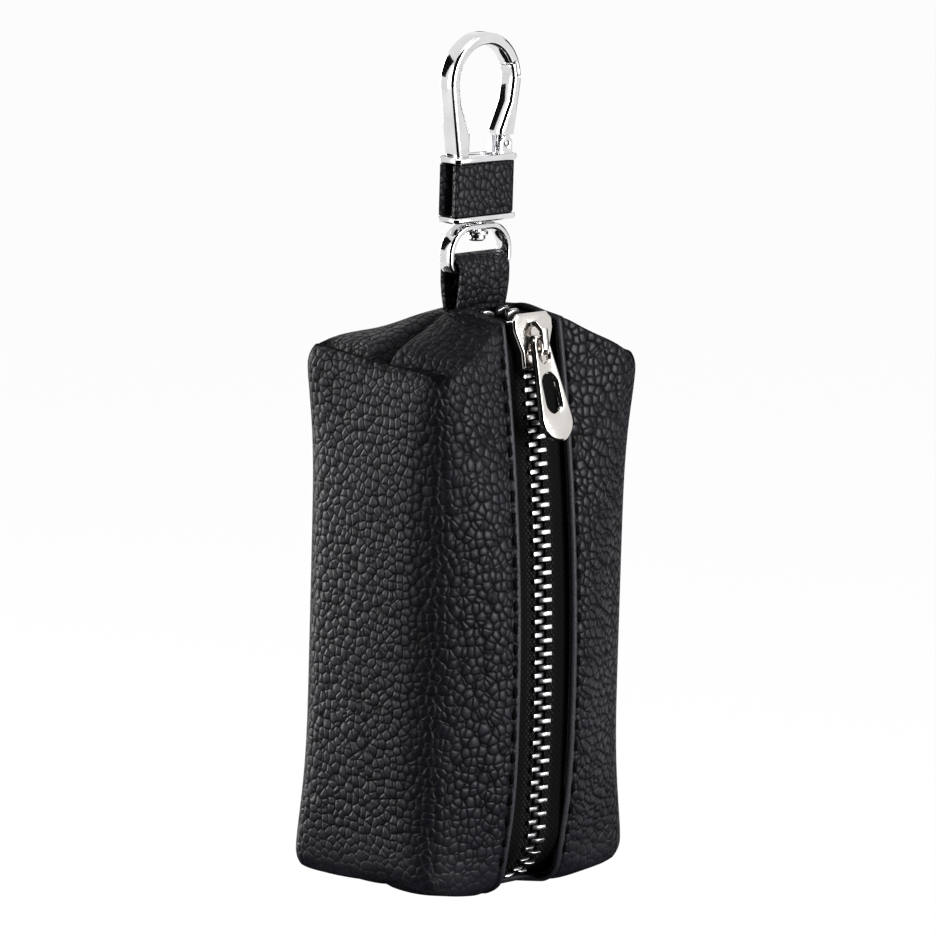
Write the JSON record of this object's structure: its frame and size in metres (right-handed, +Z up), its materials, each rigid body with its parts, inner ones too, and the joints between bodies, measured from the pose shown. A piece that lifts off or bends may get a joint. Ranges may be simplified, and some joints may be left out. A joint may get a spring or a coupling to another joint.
{
  "type": "key case",
  "caption": "Black pebbled leather key case with a zip down the front, hanging by a leather loop from a chrome swivel snap hook; a split ring inside carries the keys.",
  "frame": {"origin": "centre of the hook's eye, from which the case hangs", "axes": "+Z up, +Y to the back, the zip faces -Y, the gate is on the +X side"},
  "size_m": [0.0436, 0.0372, 0.1295],
  "materials": {
    "leather": "pebbled grain, semi-matte",
    "chrome": "polished",
    "nickel": "polished nickel",
    "steel": "plain",
    "teeth": "bright",
    "tape": "woven",
    "lining": "plain cloth"
  },
  "bodies": {
    "clasp": {"hook": "chrome", "upper_plate": "chrome", "clasp_core": "steel", "leather_wrap": "leather", "lower_plate": "chrome", "swivel_rivet": "chrome", "swivel_washer": "chrome", "gate_pin": "steel", "gate_spring": "steel"},
    "gate": {"gate": "chrome"},
    "ring": {"swivel_ring": "chrome"},
    "case": {"leather_shell": "leather", "lining": "lining", "hanger_loop": "leather", "zip_tape_left": "tape", "zip_tape_right": "tape", "zip_teeth_left": "teeth", "zip_teeth_right": "teeth", "key_strap": "leather", "strap_rivet": "nickel"},
    "slider": {"slider": "nickel"},
    "tab": {"pull_tab": "nickel"},
    "keys": {"key_ring": "nickel"}
  },
  "joints": [
    {"name": "gate_hinge", "type": "hinge", "parent": "clasp", "child": "gate", "pos_m": [0.00445, 0, -0.00965], "axis": [0, -1, 0], "range_deg": [0, 25], "stiffness_Nm_per_rad": 0.05, "springref_deg": -17.19, "deforming": ["gate_spring"]},
    {"name": "ring_swivel", "type": "hinge", "parent": "clasp", "child": "ring", "pos_m": [0, 0, -0.02185], "axis": [0, 0, 1], "continuous": true},
    {"name": "case_swing", "type": "hinge", "parent": "ring", "child": "case", "pos_m": [0, 0, -0.02825], "axis": [1, 0, 0], "range_deg": [-60, 60]},
    {"name": "zip_run", "type": "hinge", "parent": "case", "child": "slider", "pos_m": [0, 0.3039, -0.095], "axis": [1, 0, 0], "range_deg": [0, 12.4], "deforming": ["zip_teeth_left", "zip_teeth_right"]},
    {"name": "tab_flip", "type": "hinge", "parent": "slider", "child": "tab", "pos_m": [0, -0.01385, -0.03717], "axis": [-1, 0, 0], "range_deg": [0, 120]},
    {"name": "key_ring_swing", "type": "hinge", "parent": "case", "child": "keys", "pos_m": [0, 0, -0.047], "axis": [1, 0, 0], "range_deg": [-25, 25]}
  ]
}
